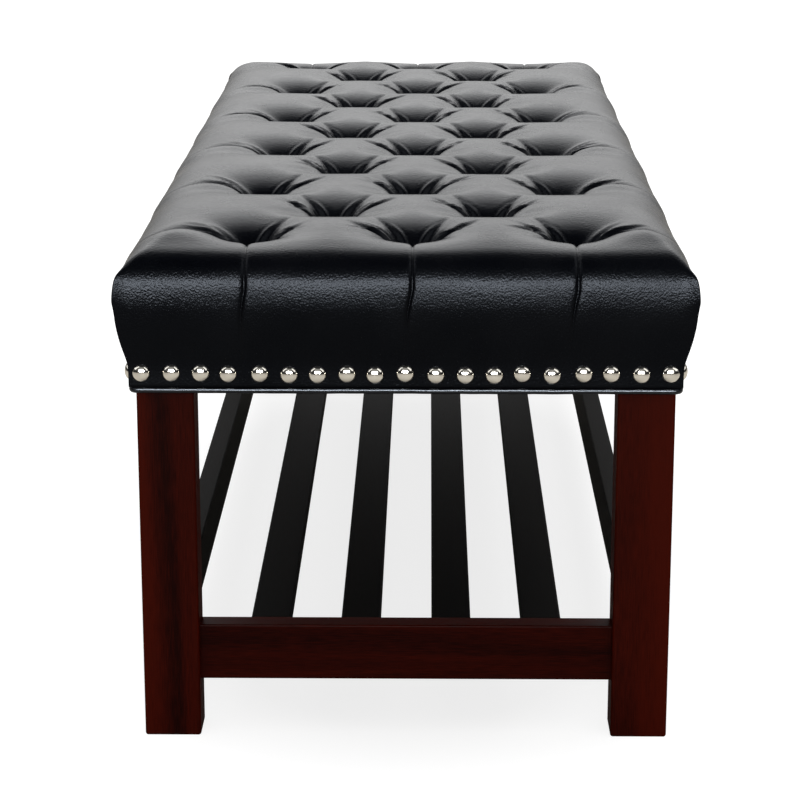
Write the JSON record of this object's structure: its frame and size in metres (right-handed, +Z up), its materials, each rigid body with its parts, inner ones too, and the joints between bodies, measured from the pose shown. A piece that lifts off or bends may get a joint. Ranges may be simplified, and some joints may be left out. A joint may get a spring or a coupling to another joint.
{
  "type": "upholstered bench",
  "caption": "Long bench with a diamond-tufted leather seat, a nailed lower edge, square wooden legs and a low slatted shelf.",
  "frame": {"origin": "on the floor, under the middle of the bench", "axes": "+Z up, +Y along the bench from the front end to the back end, +X across it to the right"},
  "size_m": [0.498, 1.27, 0.457],
  "materials": {
    "stained_mahogany": "satin dark red-brown stain",
    "frame_hardwood": "planed, unfinished",
    "plywood": "sanded, unfinished",
    "dowel_beech": "turned, unfinished",
    "zinc_plated_steel": "zinc plated",
    "staple_wire": "galvanised",
    "polished_nickel": "polished nickel plate",
    "black_leather": "pebbled, soft sheen",
    "welt_leather": "pebbled, soft sheen",
    "button_leather": "pebbled, soft sheen",
    "foam": "open-cell foam",
    "waxed_twine": "waxed",
    "vulcanised_fibre": "matte",
    "dust_cloth": "non-woven, matte"
  },
  "bodies": {
    "root": {"bottom_welt": "welt_leather", "corner_block_back_left": "frame_hardwood", "corner_block_back_right": "frame_hardwood", "corner_block_front_left": "frame_hardwood", "corner_block_front_right": "frame_hardwood", "deck_screws": "zinc_plated_steel", "dust_cover": "dust_cloth", "dust_cover_staples": "staple_wire", "frame_screws": "zinc_plated_steel", "leg_back_left": "stained_mahogany", "leg_back_right": "stained_mahogany", "leg_bolt_washers": "zinc_plated_steel", "leg_bolts": "zinc_plated_steel", "leg_dowels": "dowel_beech", "leg_front_left": "stained_mahogany", "leg_front_right": "stained_mahogany", "nailheads_back": "polished_nickel", "nailheads_front": "polished_nickel", "nailheads_left": "polished_nickel", "nailheads_right": "polished_nickel", "seat_cover": "black_leather", "seat_cross_rail_1": "frame_hardwood", "seat_cross_rail_2": "frame_hardwood", "seat_cross_rail_3": "frame_hardwood", "seat_cross_rail_4": "frame_hardwood", "seat_deck": "plywood", "seat_foam": "foam", "seat_rail_back": "frame_hardwood", "seat_rail_front": "frame_hardwood", "seat_rail_left": "frame_hardwood", "seat_rail_right": "frame_hardwood", "shelf_side_rail_left": "stained_mahogany", "shelf_side_rail_right": "stained_mahogany", "shelf_slat_1": "stained_mahogany", "shelf_slat_2": "stained_mahogany", "shelf_slat_3": "stained_mahogany", "shelf_slat_4": "stained_mahogany", "shelf_stretcher_back": "stained_mahogany", "shelf_stretcher_front": "stained_mahogany", "side_rail_dowels": "dowel_beech", "slat_dowels": "dowel_beech", "stretcher_dowels": "dowel_beech", "tuft_buttons": "button_leather", "tufting_twines": "waxed_twine", "twine_washers": "vulcanised_fibre"}
  },
  "joints": []
}
